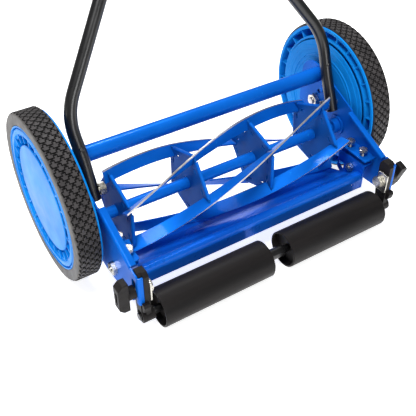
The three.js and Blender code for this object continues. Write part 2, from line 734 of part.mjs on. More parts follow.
const betweenAxles = Math.hypot(AXLE.y - ROLLER.y, AXLE.z - ROLLER.z);
const axleSlope = Math.atan2(AXLE.z - ROLLER.z, AXLE.y - ROLLER.y);
mower.rotation.x = Math.asin((WHEEL_R - ROLLER.r) / betweenAxles) - axleSlope;

// ---- the origin goes to the centre of the bottom of the box --------------------------------------------

mower.updateMatrixWorld(true);
const box = new THREE.Box3().setFromObject(mower, true);
mower.position.set(0, -(box.min.y + box.max.y) / 2, -box.min.z);

export default mower;
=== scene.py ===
# The visual model of a hand-pushed reel mower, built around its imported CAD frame.
# Shapes are written in millimetres: x runs to the right, y ahead and z up, from a point near the ground
# under the middle of the wheels' axle line. LEVEL then sets the whole mower on its wheels and rollers.

import json
import math

import bmesh
import bpy
import numpy as np
from mathutils import Matrix, Vector
from mathutils.geometry import tessellate_polygon


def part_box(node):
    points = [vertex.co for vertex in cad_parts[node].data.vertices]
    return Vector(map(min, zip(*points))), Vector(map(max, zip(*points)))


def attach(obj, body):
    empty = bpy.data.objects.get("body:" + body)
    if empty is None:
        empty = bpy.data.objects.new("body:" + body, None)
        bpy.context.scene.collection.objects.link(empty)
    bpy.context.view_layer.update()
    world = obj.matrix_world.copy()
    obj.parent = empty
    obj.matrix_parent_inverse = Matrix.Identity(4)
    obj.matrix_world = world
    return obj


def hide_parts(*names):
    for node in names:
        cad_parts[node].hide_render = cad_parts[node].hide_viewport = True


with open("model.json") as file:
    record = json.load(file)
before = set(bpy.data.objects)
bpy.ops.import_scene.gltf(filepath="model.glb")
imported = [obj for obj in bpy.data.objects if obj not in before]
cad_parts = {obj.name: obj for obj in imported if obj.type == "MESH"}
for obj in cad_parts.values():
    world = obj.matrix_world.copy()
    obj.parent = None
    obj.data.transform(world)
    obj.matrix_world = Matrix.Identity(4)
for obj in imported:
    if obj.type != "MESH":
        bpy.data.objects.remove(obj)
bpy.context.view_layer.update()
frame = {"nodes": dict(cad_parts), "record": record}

MM = 0.001
TYRE_LOW, TYRE_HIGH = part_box("tyre_left")
BODY_OF = {n: b for b, nodes in frame["record"]["behaviour"]["bodies"].items() for n in nodes}

# Lines that run across the mower, as (y, z).
AXLE = (0.0, 125.0)
REEL = (-59.2, 106.0)
CROSS_TUBE = (0.0, 175.0)
BED_PIVOT = (-129.0, 70.0)
ROLLER = (-194.0, 29.0)
HEIGHT_BOLT = (-187.5, 75.5)
HINGE = (-49.0, 146.0)

HANDLE_LEAN = math.radians(23.4)
PLATE_IN, PLATE_OUT = 227.6, 230.4
GAP = 0.3
END = PLATE_IN - GAP
TUBE_R = 9.4
SCREW_X = 213
SCREWS = (("rear", -142), ("front", -112))
SIDES = (("right", 1), ("left", -1))
WHEEL_R, ROLLER_R = 128.5, 29.0
AXLES_APART = math.dist(AXLE, ROLLER)
AXLES_SLOPE = math.atan2(AXLE[1] - ROLLER[1], AXLE[0] - ROLLER[0])
TILT = math.asin((WHEEL_R - ROLLER_R) / AXLES_APART) - AXLES_SLOPE
LEVEL = (Matrix.Translation((0, (TYRE_LOW.y + TYRE_HIGH.y) / 2, (TYRE_LOW.z + TYRE_HIGH.z) / 2))
         @ Matrix.Rotation(TILT, 4, "X") @ Matrix.Translation((0, -AXLE[0] * MM, -AXLE[1] * MM)))


# ---- materials -------------------------------------------------------------------------------------------


def noise(nodes, links, coordinates, scale, detail=4.0, stretch=(1, 1, 1)):
    mapping = nodes.new("ShaderNodeMapping")
    mapping.inputs["Scale"].default_value = stretch
    links.new(coordinates, mapping.inputs["Vector"])
    texture = nodes.new("ShaderNodeTexNoise")
    texture.inputs["Scale"].default_value = scale
    texture.inputs["Detail"].default_value = detail
    links.new(mapping.outputs["Vector"], texture.inputs["Vector"])
    return texture.outputs["Fac"]


def material(name, low, high, scale=12, rough=(0.3, 0.4), grain=(900, 0.1), stretch=(1, 1, 1),
             specks=None, **sockets):
    """Colour and roughness wander between two values; grain is the scale and strength of a fine bump.
    specks is (colour, scale, share): small marks of another colour."""
    made = bpy.data.materials.new(name)
    made.use_nodes = True
    nodes, links = made.node_tree.nodes, made.node_tree.links
    shader = nodes["Principled BSDF"]
    coordinates = nodes.new("ShaderNodeTexCoord").outputs["Object"]
    broad = noise(nodes, links, coordinates, scale, stretch=stretch)
    ramp = nodes.new("ShaderNodeValToRGB")
    ramp.color_ramp.elements[0].position = 0.35
    ramp.color_ramp.elements[0].color = (*low, 1)
    ramp.color_ramp.elements[1].position = 0.65
    ramp.color_ramp.elements[1].color = (*high, 1)
    links.new(broad, ramp.inputs["Fac"])
    colour = ramp.outputs["Color"]
    if specks:
        tint, speck_scale, share = specks
        edge = nodes.new("ShaderNodeMapRange")
        edge.inputs["From Min"].default_value = 1 - share
        edge.inputs["From Max"].default_value = 1 - share + 0.03
        links.new(noise(nodes, links, coordinates, speck_scale, 3.0), edge.inputs["Value"])
        mix = nodes.new("ShaderNodeMix")
        mix.data_type = "RGBA"
        links.new(edge.outputs["Result"], mix.inputs["Factor"])
        links.new(colour, mix.inputs["A"])
        mix.inputs["B"].default_value = (*tint, 1)
        colour = mix.outputs["Result"]
    links.new(colour, shader.inputs["Base Color"])
    spread = nodes.new("ShaderNodeMapRange")
    spread.inputs["From Min"].default_value = 0.3
    spread.inputs["From Max"].default_value = 0.7
    spread.inputs["To Min"].default_value = rough[0]
    spread.inputs["To Max"].default_value = rough[1]
    links.new(noise(nodes, links, coordinates, scale * 3, stretch=stretch), spread.inputs["Value"])
    links.new(spread.outputs["Result"], shader.inputs["Roughness"])
    bump = nodes.new("ShaderNodeBump")
    bump.inputs["Strength"].default_value = grain[1]
    bump.inputs["Distance"].default_value = 0.0004
    links.new(noise(nodes, links, coordinates, grain[0], 2.0, stretch), bump.inputs["Height"])
    links.new(bump.outputs["Normal"], shader.inputs["Normal"])
    for socket, value in sockets.items():
        shader.inputs[socket.replace("_", " ")].default_value = value
    return made


BLUE = material("blue_enamel", (0.0018, 0.095, 0.47), (0.0035, 0.125, 0.57), 9, (0.34, 0.44),
                (260, 0.07), specks=((0.007, 0.17, 0.63), 160, 0.3), Metallic=0.2, Specular_IOR_Level=0.07,
                Specular_Tint=(0.12, 0.55, 1, 1), Coat_Weight=0.08, Coat_Roughness=0.07)
BLUE_WET = material("blue_enamel_pressed", (0.002, 0.085, 0.52), (0.004, 0.12, 0.62), 9, (0.26, 0.34),
                    (160, 0.25), specks=((0.008, 0.19, 0.72), 160, 0.3), Metallic=0.3, Specular_IOR_Level=0.1,
                    Specular_Tint=(0.12, 0.55, 1, 1), Coat_Weight=0.3, Coat_Roughness=0.13)
# Painted shade: a darker blue for the reel spiders' flat plates, standing in for the wheels' shadow on them
# and the dark parts they reflect.
BLUE_SPIDER_SHADE = material("blue_enamel_painted_shade", (0.003, 0.062, 0.26), (0.006, 0.095, 0.37), 14, (0.4, 0.5),
                     (260, 0.1), Specular_IOR_Level=0.03, Specular_Tint=(0.2, 0.55, 1, 1))
BLUE_PLASTIC = material("blue_plastic", (0.003, 0.185, 0.60), (0.006, 0.235, 0.70), 14, (0.32, 0.42),
                        (700, 0.1), Specular_IOR_Level=0.07, Specular_Tint=(0.12, 0.6, 1, 1))
ZINC = material("zinc_plate", (0.36, 0.35, 0.31), (0.64, 0.62, 0.57), 160, (0.22, 0.36), (1500, 0.2),
                Metallic=1.0)
STEEL = material("ground_steel", (0.36, 0.35, 0.36), (0.60, 0.58, 0.60), 40, (0.28, 0.42), (500, 0.25),
                 stretch=(0.06, 3, 3), Metallic=1.0)
GROUND_EDGE = material("ground_edge", (0.54, 0.52, 0.50), (0.74, 0.71, 0.69), 60, (0.3, 0.5), (500, 0.2),
                       stretch=(0.2, 2, 2), Metallic=0.9)
BLACK_PAINT = material("black_enamel", (0.0025, 0.0025, 0.003), (0.005, 0.005, 0.0055), 10, (0.26, 0.32),
                       (300, 0.04), Specular_IOR_Level=0.6)
BLACK_PLASTIC = material("black_plastic", (0.004, 0.0037, 0.004), (0.014, 0.012, 0.012), 5, (0.42, 0.56),
                         (1100, 0.2), stretch=(0.5, 6, 6), Specular_IOR_Level=0.13)
RUBBER = material("tyre_rubber", (0.024, 0.022, 0.023), (0.046, 0.042, 0.043), 30, (0.5, 0.7), (1200, 0.4),
                  Specular_IOR_Level=0.3)
# Painted shade: the deep faces of the tread grooves take this near-black rubber for the shade that falls in
# them.
RUBBER_GROOVE_SHADE = material("tyre_groove_painted_shade", (0.004, 0.004, 0.004), (0.007, 0.007, 0.007), 30, (0.8, 0.9),
                         (1200, 0.3), Specular_IOR_Level=0.2)
# The outer side wall: lighter and browner than the tread, partly its own tone and partly painted light for
# the light falling on that face.
RUBBER_WALL_TONE_AND_LIGHT = material("tyre_wall_tone_and_painted_light", (0.042, 0.038, 0.035), (0.062, 0.057, 0.053), 25, (0.5, 0.65),
                       (900, 0.25))
FOAM = material("grip_foam", (0.010, 0.010, 0.010), (0.022, 0.022, 0.022), 60, (0.9, 1.0), (1400, 1.0))


# ---- shells: (points in mm, faces, one tag per face) -----------------------------------------------------


def shell(points, faces, tags=None):
    return np.asarray(points, float), faces, tags or [0] * len(faces)


def merged(*shells):
    """Several shells in one."""
    points, faces, tags = [], [], []
    base = 0
    for p, f, t in shells:
        points.append(p)
        faces += [tuple(i + base for i in face) for face in f]
        tags += t
        base += len(p)
    return np.concatenate(points), faces, tags


def moved(part, matrix):
    points, faces, tags = part
    m = np.array(matrix)
    return points @ m[:3, :3].T + m[:3, 3], faces, tags


def mirrored(part):
    points, faces, tags = part
    return points * (-1, 1, 1), [tuple(reversed(f)) for f in faces], tags


def tagged(part, tag):
    return part[0], part[1], [tag] * len(part[1])


def rounded(points, radius, steps=3, closed=True):
    """Every corner of a line becomes a small bend; radius is one number or one for each corner."""
    count = len(points)
    radii = [radius] * count if np.isscalar(radius) else radius
    made = []
    for i, corner in enumerate(np.asarray(points, float)):
        if radii[i] == 0 or (not closed and i in (0, count - 1)):
            made.append(corner)
            continue
        before, after = np.asarray(points[i - 1], float), np.asarray(points[(i + 1) % count], float)
        a, b = before - corner, after - corner
        long_a, long_b = np.linalg.norm(a), np.linalg.norm(b)
        cosine = np.clip(a @ b / (long_a * long_b), -1, 1)
        half = math.acos(cosine) / 2
        reach = min(radii[i] / math.tan(half) if half < 1.56 else 0, 0.46 * long_a, 0.46 * long_b)
        if reach < 1e-4:
            made.append(corner)
            continue
        start, end = corner + a / long_a * reach, corner + b / long_b * reach
        for k in range(steps + 1):
            t = k / steps
            made.append(start * (1 - t) ** 2 + corner * 2 * t * (1 - t) + end * t * t)
    return made


def circle(centre, radius, sides=32, start=0.0):
    angles = start + np.arange(sides) * 2 * math.pi / sides
    return np.stack([centre[0] + radius * np.cos(angles), centre[1] + radius * np.sin(angles)], 1)


def arc(centre, radius, start, end, steps):
    angles = np.radians(np.linspace(start, end, steps + 1))
    return [(centre[0] + radius * math.cos(a), centre[1] + radius * math.sin(a)) for a in angles]


def turned_about(loop, angle, centre=(0, 0)):
    c, s = math.cos(angle), math.sin(angle)
    return np.asarray(loop) @ np.array([[c, s], [-s, c]]) + np.asarray(centre)


def wound(loop, left):
    loop = np.asarray(loop, float)
    nxt = np.roll(loop, -1, 0)
    area = (loop[:, 0] * nxt[:, 1] - nxt[:, 0] * loop[:, 1]).sum()
    return loop if (area > 0) == left else loop[::-1]


def inset(loop, by):
    """The loop drawn in by a distance towards its left side."""
    d = np.roll(loop, -1, 0) - loop
    d /= np.linalg.norm(d, axis=1)[:, None]
    normal = np.stack([-d[:, 1], d[:, 0]], 1)
    before = np.roll(normal, 1, 0)
    return loop + by * (normal + before) / np.maximum(1 + (normal * before).sum(1), 0.2)[:, None]


def slab(loops, low, high, edge=0.4, steps=2, axis="x"):
    """A flat piece from low to high along an axis; the first loop is its outline and the others are holes."""
    loops = [wound(loop, i == 0) for i, loop in enumerate(loops)]
    levels = []
    for k in range(steps + 1):
        turn = k / steps * math.pi / 2
        levels.append((edge * (1 - math.sin(turn)), low + edge * (1 - math.cos(turn))))
    levels += [(back, high + low - at) for back, at in reversed(levels)]
    points, faces = [], []
    count = sum(len(loop) for loop in loops)
    for back, at in levels:
        for loop in loops:
            points += [(u, v, at) for u, v in inset(loop, back)]
    for level in range(len(levels) - 1):
        start = level * count
        for loop in loops:
            n = len(loop)
            for i in range(n):
                j = (i + 1) % n
                faces.append((start + i, start + j, start + count + j, start + count + i))
            start += n
    flat = [[Vector((u, v, 0)) for u, v in inset(loop, levels[0][0])] for loop in loops]
    cap = tessellate_polygon(flat)
    faces += [tuple(reversed(t)) for t in cap]
    top = (len(levels) - 1) * count
    faces += [tuple(i + top for i in t) for t in cap]
    order = {"x": (2, 0, 1), "y": (0, 2, 1), "z": (0, 1, 2)}[axis]
    return shell(np.array(points)[:, order], faces)


def turned(profile, axis=(0, 0), sides=72, closed=True, tags=None):
    """(radius, x) points turned about a line along X through axis; tags holds one tag per profile step."""
    angles = np.arange(sides) * 2 * math.pi / sides
    points, rings = [], []
    for r, x in profile:
        if r < 1e-6:
            rings.append([len(points)] * sides)
            points.append((x, axis[0], axis[1]))
        else:
            rings.append(list(range(len(points), len(points) + sides)))
            points += [(x, axis[0] + r * math.cos(a), axis[1] + r * math.sin(a)) for a in angles]
    faces, marks = [], []
    for k in range(len(rings) if closed else len(rings) - 1):
        a, b = rings[k], rings[(k + 1) % len(rings)]
        for i in range(sides):
            j = (i + 1) % sides
            face = tuple(dict.fromkeys((a[i], b[i], b[j], a[j])))
            if len(face) > 2:
                faces.append(face)
                marks.append(tags[k] if tags else 0)
    return shell(points, faces, marks)


def bolt_head(flat, low, high, bore=0.0, sides=6, steps=8, both=False):
    """A hexagon along X, chamfered at its high end, and at its low end too if both are; bored if asked."""
    count = sides * steps
    angles = np.arange(count) * 2 * math.pi / count
    wedge = 2 * math.pi / sides
    full = flat / np.cos((angles + wedge / 2) % wedge - wedge / 2)
    round_r = flat * 0.96
    drop = (full - round_r) * 0.5
    rings = []
    if both:
        rings += [(np.full(count, round_r), np.full(count, low)), (full, low + drop)]
    else:
        rings.append((full, np.full(count, low)))
    rings += [(full, high - drop), (np.full(count, round_r), np.full(count, high))]
    if bore:
        rings.append((np.full(count, bore), np.full(count, high)))
        rings.append((np.full(count, bore), np.full(count, low)))
    points, faces = [], []
    for r, x in rings:
        points += list(np.stack([x, r * np.cos(angles), r * np.sin(angles)], 1))
    for k in range(len(rings) if bore else len(rings) - 1):
        a, b = k * count, (k + 1) % len(rings) * count
        faces += [(a + i, b + i, b + (i + 1) % count, a + (i + 1) % count) for i in range(count)]
    if not bore:
        faces.append(tuple(range(count)))
        faces.append(tuple((len(rings) - 1) * count + i for i in range(count)))
    return shell(points, faces)


def threaded(r, low, high, pitch=1.4, depth=0.35, sides=24):
    """A round bar along X whose high end has thread rings and a chamfer."""
    profile = [(0, low), (r, low)]
    x = low + 0.8
    while x < high - 1.6:
        profile += [(r, x), (r - depth, x + pitch / 2)]
        x += pitch
    profile += [(r, high - 1.0), (r - 0.9, high), (0, high)]
    return turned(profile, sides=sides, closed=False)


def at_axis(part, axis):
    return moved(part, Matrix.Translation((0, axis[0], axis[1])))


def swept(centres, radius, sides=28, inner=0.0):
    """A round tube along a line of points; hollow if inner is given."""
    centres = np.asarray(centres, float)
    ahead = np.gradient(centres, axis=0)
    ahead /= np.linalg.norm(ahead, axis=1)[:, None]
    side = np.cross(ahead[0], (0.0, 1.0, 0.0))
    if np.linalg.norm(side) < 1e-3:
        side = np.cross(ahead[0], (1.0, 0.0, 0.0))
    angles = np.arange(sides) * 2 * math.pi / sides
    outer_rings, inner_rings = [], []
    for centre, t in zip(centres, ahead):
        side = side - t * (side @ t)
        side /= np.linalg.norm(side)
        up = np.cross(t, side)
        ring = np.cos(angles)[:, None] * side + np.sin(angles)[:, None] * up
        outer_rings.append(centre + ring * radius)
        inner_rings.append(centre + ring * inner)
    chamfer = 0.06
    edge = radius * chamfer
    first, last = outer_rings[0], outer_rings[-1]
    outer_rings[0] = centres[0] + (first - centres[0]) * (1 - chamfer)
    outer_rings[-1] = centres[-1] + (last - centres[-1]) * (1 - chamfer)
    outer_rings.insert(1, first + ahead[0] * edge)
    outer_rings.insert(-1, last - ahead[-1] * edge)
    rings = outer_rings + (inner_rings[::-1] if inner else [])
    faces = []
    total = len(rings)
    for k in range(total if inner else total - 1):
        a, b = k * sides, (k + 1) % total * sides
        faces += [(a + i, a + (i + 1) % sides, b + (i + 1) % sides, b + i) for i in range(sides)]
    if not inner:
        faces += [tuple(range(sides)), tuple((total - 1) * sides + i for i in range(sides))]
    return shell(np.concatenate(rings), faces)


def fold(leg_u, leg_v, thick, radius, steps=6):
    """The section of a sheet folded square: its outer corner is at (0, 0), its legs run down both axes."""
    outer = arc((-radius, -radius), radius, 90, 0, steps)
    inner = arc((-radius, -radius), radius - thick, 0, 90, steps)
    return [(-leg_u, 0), *outer, (0, -leg_v), (-thick, -leg_v), *inner, (-leg_u, -thick)]


def basis(origin, u, v, w):
    """The matrix that carries x, y and z to the three axes u, v and w at an origin."""
    m = Matrix.Identity(4)
    for column, axis in enumerate((u, v, w, origin)):
        for row in range(3):
            m[row][column] = axis[row]
    return m


# ---- Blender objects -------------------------------------------------------------------------------------


def raw_mesh(name, part, touching):
    """A mesh of the shell as it is written; points closer than touching become one."""
    points, faces, tags = part
    mesh = bpy.data.meshes.new(name)
    mesh.from_pydata(points.tolist(), [], faces)
    mesh.polygons.foreach_set("material_index", tags)
    work = bmesh.new()
    work.from_mesh(mesh)
    bmesh.ops.remove_doubles(work, verts=work.verts, dist=touching)
    bmesh.ops.recalc_face_normals(work, faces=work.faces)
    work.to_mesh(mesh)
    work.free()
    return mesh


def mesh_of(name, part):
    """A mesh in metres, where the mower stands."""
    return raw_mesh(name, moved(part, LEVEL @ Matrix.Scale(MM, 4)), 1e-7)


def smoothed(mesh, angle=32):
    """Shaded smooth but for edges sharper than an angle in degrees."""
    mesh.polygons.foreach_set("use_smooth", [True] * len(mesh.polygons))
    mesh.set_sharp_from_angle(angle=math.radians(angle))


def carved(part, *cutters):
    """The shell with the cutters' shells taken away."""
    whole = bpy.data.objects.new("whole", raw_mesh("whole", part, 1e-4))
    bpy.context.scene.collection.objects.link(whole)
    tools = []
    for cutter in cutters:
        tool = bpy.data.objects.new("tool", raw_mesh("tool", cutter, 1e-4))
        bpy.context.scene.collection.objects.link(tool)
        tools.append(tool)
        step = whole.modifiers.new("cut", "BOOLEAN")
        step.operation = "DIFFERENCE"
        step.solver = "EXACT"
        step.object = tool
    bpy.context.view_layer.update()
    result = bpy.data.meshes.new_from_object(whole.evaluated_get(bpy.context.evaluated_depsgraph_get()))
    points = np.array([v.co for v in result.vertices])
    faces = [tuple(p.vertices) for p in result.polygons]
    tags = [min(p.material_index, 1) for p in result.polygons]
    for o in [whole, *tools]:
        bpy.data.objects.remove(o)
    return shell(points, faces, tags)


def piece(name, part, slot, materials, body=None, weighted=True):
    """A visible piece. It stands for the CAD node of its name, or only rides on a body if one is given."""
    obj = bpy.data.objects.new(name + ".look", mesh_of(name, part))
    bpy.context.scene.collection.objects.link(obj)
    for m in materials if isinstance(materials, (list, tuple)) else [materials]:
        obj.data.materials.append(m)
    smoothed(obj.data)
    if weighted:
        even = obj.modifiers.new("even_normals", "WEIGHTED_NORMAL")
        even.keep_sharp = True
    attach(obj, body or BODY_OF[name])
    if body is None:
        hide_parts(name)
    return obj


def pair(name, part, slot, materials, **more):
    """A right-hand piece and its mirror image."""
    for side, sign in SIDES:
        piece(f"{name}_{side}", part if sign > 0 else mirrored(part), slot, materials, **more)


# ---- frame -----------------------------------------------------------------------------------------------

TOP_Z, TOP_SLOPE = 187.6, 0.43
PLATE_THICK = PLATE_OUT - PLATE_IN
FOLD_R = 4.0
REAR_Y = -201.0
SLANT = math.hypot(1, TOP_SLOPE)


def top_edge(y, below=0.0):
    return TOP_Z + TOP_SLOPE * y - below * SLANT


def side_plate():
    """A flat web with folds at its top and rear, a ledge for the bed screws and the handle's stop."""
    folded = (-90.0, -177.0)
    outline = [(42, 108), (42, 162), *arc((12, 162), 30, 0, 113, 24)[1:]]
    outline += [(folded[0] + 1, top_edge(folded[0] + 1)), (folded[0], top_edge(folded[0], FOLD_R))]
    outline += [(folded[1], top_edge(folded[1], FOLD_R)), (folded[1] - 1, top_edge(folded[1] - 1))]
    outline += [(REAR_Y + 6, 108.4), (REAR_Y + FOLD_R, 106), (REAR_Y + FOLD_R, 57)]
    outline += [(-192.5, 57), *arc((-187.5, 93), 5, 180, 0, 12), (-182.5, 52), (-172, 45), (-100, 42)]
    outline += [(-10, 62), (24, 84)]
    holes = [(AXLE, 6.4, 24), (REEL, 15.3, 40), (CROSS_TUBE, 4.4, 20), (HINGE, 5.4, 20), (BED_PIVOT, 4.6, 20),
             ((-6, 144), 4, 20), ((-15, 158), 3.5, 20), ((17, 117), 3, 20), ((30, 150), 2.6, 16)]
    web = slab([outline] + [circle(c, r, n) for c, r, n in holes], PLATE_IN, PLATE_OUT, 0.35)
    skin = PLATE_THICK - 0.1
    along = (0, 1 / SLANT, TOP_SLOPE / SLANT)
    over = (0, -TOP_SLOPE / SLANT, 1 / SLANT)
    top = slab([fold(11.4, FOLD_R + 2, skin, FOLD_R)], folded[1] * SLANT, folded[0] * SLANT, 0.3, axis="z")
    top = moved(top, basis((PLATE_OUT - 0.05, 0, TOP_Z), (1, 0, 0), over, along))
    rear = slab([fold(7.9, FOLD_R + 2, skin, FOLD_R)], 57, 107.6, 0.3, axis="z")
    rear = moved(rear, basis((PLATE_OUT - 0.05, REAR_Y, 0), (1, 0, 0), (0, -1, 0), (0, 0, 1)))
    screws = [circle((SCREW_X, y), 3.5, 20) for _, y in reversed(SCREWS)]
    tongue = [(204, -158), (PLATE_IN + 0.6, -158), (PLATE_IN + 0.6, -98), (204, -98)]
    ledge = slab([rounded(tongue, [4, 0, 0, 4], 5), *screws], 95, 98, 0.3, axis="z")
    along_handle, beside = 22, TUBE_R + 4.4
    c, s = math.cos(HANDLE_LEAN), math.sin(HANDLE_LEAN)
    stop = (HINGE[0] + along_handle * s + beside * c, HINGE[1] + along_handle * c - beside * s)
    root = PLATE_IN + 0.5
    stud = turned([(0, 212), (3.2, 212), (4, 212.8), (4, root), (0, root)], stop, 28, False)
    return merged(web, top, rear, ledge, stud)


pair("side_plate", side_plate(), "blue_paint", BLUE)

cross_tube = [(11, -END), (12.1, -END), (12.5, -END + 0.4), (12.5, END - 0.4), (12.1, END), (11, END),
              (11, END - 8), (4.6, END - 8), (4.6, END - 12), (4.6, -END + 12), (4.6, -END + 8),
              (11, -END + 8)]
piece("cross_tube", turned(cross_tube, CROSS_TUBE, 64), "blue_paint", BLUE)
shank = [(0, 221), (3.6, 221), (4, 221.4), (4, 231.4), (0, 231.4)]
cross_bolt = merged(bolt_head(7.5, PLATE_OUT + GAP, PLATE_OUT + 5), turned(shank, sides=24, closed=False))
pair("cross_tube_bolt", at_axis(cross_bolt, CROSS_TUBE), "zinc", ZINC)


# ---- axles and wheels ------------------------------------------------------------------------------------

WEB_IN, WEB_OUT = 262.0, 265.2
POCKET_FLOOR = 271.5
POCKETS = 24
RING_TEETH, PINION_TEETH = 55, 10
MESH_ANGLE = math.atan2(REEL[1] - AXLE[1], REEL[0] - AXLE[0])
GEAR_MODULE = 2 * math.dist(REEL, AXLE) / (RING_TEETH - PINION_TEETH)


def gear_loop(axis, teeth, tip, root, centre):
    """The outline of a toothed ring; one tooth points along the angle centre."""
    pitch = 2 * math.pi / teeth
    made = []
    for i in range(teeth):
        for r, share in ((root, -0.29), (tip, -0.13), (tip, 0.13), (root, 0.29)):
            a = centre + (i + share) * pitch
            made.append((axis[0] + r * math.cos(a), axis[1] + r * math.sin(a)))
    return made


def ribs(count, r_in, r_out, x_in, x_out, thick, taper):
    """Radial ribs, each thicker by twice the taper at its inner end."""
    parts = []
    for i in range(count):
        bar = [(r_in, -thick / 2 - taper), (r_out, -thick / 2), (r_out, thick / 2), (r_in, thick / 2 + taper)]
        parts.append(slab([turned_about(bar, (i + 0.5) / count * 2 * math.pi, AXLE)], x_in, x_out, 0.35, 1))
    return parts


def wheel():
    """Hub, web and double rim, with ribbed pockets on both sides and the internal gear."""
    rim = [(8.3, 244), (17, 244), (17, WEB_IN), (102.8, WEB_IN), (102.8, 243.2), (106.9, 243.2), (106.9, 268),
           (119.2, 268), (119.2, 241.5), (124.4, 241.5), (124.4, 244.2), (122.1, 244.2), (122.1, 275.2),
           (109.4, 275.2), (109.4, 279.2), (107.3, 279.2), (106.8, 273.5), (104.9, 273.5), (104.4, 278.4),
           (98.5, 279), (97.1, 278.6), (96.6, 275.8), (94, 275.8), (93.6, POCKET_FLOOR),
           (83.5, POCKET_FLOOR - 3), (83.5, WEB_OUT), (17, WEB_OUT), (17, 271.2), (8.3, 271.2)]
    body = turned(rounded(rim, 0.7, 2), AXLE, 120)
    pitch_r = GEAR_MODULE * RING_TEETH / 2
    teeth = gear_loop(AXLE, RING_TEETH, pitch_r - 0.72 * GEAR_MODULE, pitch_r + 0.95 * GEAR_MODULE,
                      MESH_ANGLE + math.pi / RING_TEETH)
    gear = slab([circle(AXLE, 84.5, 96), teeth], 248, WEB_IN + 0.5, 0.2, 1)
    return merged(body, gear, *ribs(POCKETS, 105.9, 120.2, 243.8, 268.5, 1.8, 0.3),
                  *ribs(POCKETS, 83, 97, WEB_OUT - 0.5, 277.3, 4.2, -1.3))


TREAD_PITCHES = 62
TREAD_STEPS = 1240
TREAD_ROWS = 42
ZIGZAG = 0.15
GROOVE_DEPTH, GROOVE_HALF, GROOVE_WALL = 1.5, 1.1, 0.55
# GROOVE_SHADE is the summed groove depth beyond which a tread face takes the painted-shade groove rubber.
GROOVE_SHADE = 2.6


def wave(t):
    """A triangle wave between -1 and 1."""
    return 2 * np.abs(2 * (t - np.floor(t + 0.5))) - 1


def tread_depth(u, v, pitch):
    """Diamond blocks: thin zigzag grooves run slanting both ways across the tread."""
    first, second = u + v, u - v
    zig = first + ZIGZAG * wave(2 * second)
    zag = second + ZIGZAG * wave(2 * first)
    near = np.minimum(np.abs(zig - np.round(zig)), np.abs(zag - np.round(zag))) * pitch / math.sqrt(2)
    return GROOVE_DEPTH * np.clip((GROOVE_HALF - near) / GROOVE_WALL, 0, 1)


def tyre():
    """A band of diamond blocks between plain side walls. Grooves are tagged 1 for a darker rubber that is
    painted shade, and the outer wall 2 for a lighter, browner rubber that is partly its own tone and partly
    painted light on that face.
    """
    r_out, low, high = WHEEL_R, 246.4, 275.6
    before = [(122.4, 244.6), (125.9, 244.6), (127.3, 244.9), (128.2, 245.6)]
    after = [(128.3, 276.5), (127.5, 277.8), (126.1, 279.0), (124.1, 279.5), (112.4, 279.5), (110.3, 279.1),
             (109.8, 278.4), (109.8, 275.6), (122.4, 275.6)]
    across = [(r_out, x) for x in np.linspace(low, high, TREAD_ROWS)]
    profile = before + across + after
    cut_from, wall_from = len(before) - 2, len(before) + TREAD_ROWS + 1
    angles = np.arange(TREAD_STEPS) * 2 * math.pi / TREAD_STEPS
    pitch = 2 * math.pi * r_out / TREAD_PITCHES
    points, depths = [], np.zeros((len(profile), TREAD_STEPS))
    for row, (r, x) in enumerate(profile):
        if cut_from <= row <= wall_from:
            depths[row] = tread_depth(angles * r_out / pitch, (x - low) / pitch, pitch)
        cut = r - depths[row]
        points.append(np.stack([np.full(TREAD_STEPS, x), AXLE[0] + cut * np.cos(angles),
                                AXLE[1] + cut * np.sin(angles)], 1))
    faces, tags = [], []
    rows = len(profile)
    for k in range(rows):
        a, b = k * TREAD_STEPS, (k + 1) % rows * TREAD_STEPS
        deep = depths[k] + depths[(k + 1) % rows]
        for i in range(TREAD_STEPS):
            j = (i + 1) % TREAD_STEPS
            faces.append((a + i, a + j, b + j, b + i))
            # Outer wall faces get the partly painted-light wall rubber (2); deep groove faces get the
            # painted-shade rubber (1).
            tags.append(2 if wall_from <= k < rows - 2 else 1 if deep[i] + deep[j] > GROOVE_SHADE else 0)
    return shell(np.concatenate(points), faces, tags)


def wheel_cover():
    disc = [(0, 278.6), (30, 278.35), (74.2, 277.35), (77.7, 277.3), (79.6, 276.9), (80.8, 275.6),
            (78.2, 274.6), (78.2, WEB_OUT + GAP), (75.7, WEB_OUT + GAP), (75.7, 275), (0, 275)]
    return turned(rounded(disc, 0.5, 2, closed=False), AXLE, 120, closed=False)


def gear_cover():
    holes = [circle(AXLE, 8.3, 32), circle(REEL, 9, 32)]
    disc = slab([circle(AXLE, 100.8, 120), *holes], 239.8, 242, 0.5)
    rings = []
    for r, wide, rise in ((85, 7.9, 0.7), (75.5, 3, 1.2), (69.5, 2.4, 0.8)):
        hump = [(r, 240), (r + 0.8, 240 - rise), (r + wide - 0.8, 240 - rise), (r + wide, 240)]
        rings.append(turned(rounded(hump, [0, 0.4, 0.4, 0], 2), AXLE, 120))
    return merged(disc, *rings)


axle = [(0, 216), (5.1, 216), (6, 217), (5.5, 217.7), (6, 218.4), (5.5, 219.1), (6, 219.8),
        (6, PLATE_OUT + GAP), (11, PLATE_OUT + GAP), (11, 239.5), (8, 239.5), (8, 271.6), (12, 271.6),
        (12, 274), (0, 274)]
pair("axle", turned(axle, AXLE, 40, False), "steel", STEEL)
pair("axle_nut", at_axis(bolt_head(10, 219, END, 6.3, both=True), AXLE), "zinc", ZINC)
pair("gear_cover", gear_cover(), "blue_plastic", BLUE_PLASTIC)
pair("wheel", wheel(), "blue_plastic", BLUE_PLASTIC, weighted=False)
# The groove rubber is painted shade and the wall rubber is partly painted light.
pair("tyre", tyre(), "tyre_rubber", [RUBBER, RUBBER_GROOVE_SHADE, RUBBER_WALL_TONE_AND_LIGHT], weighted=False)
pair("wheel_cover", wheel_cover(), "blue_plastic", BLUE_PLASTIC)


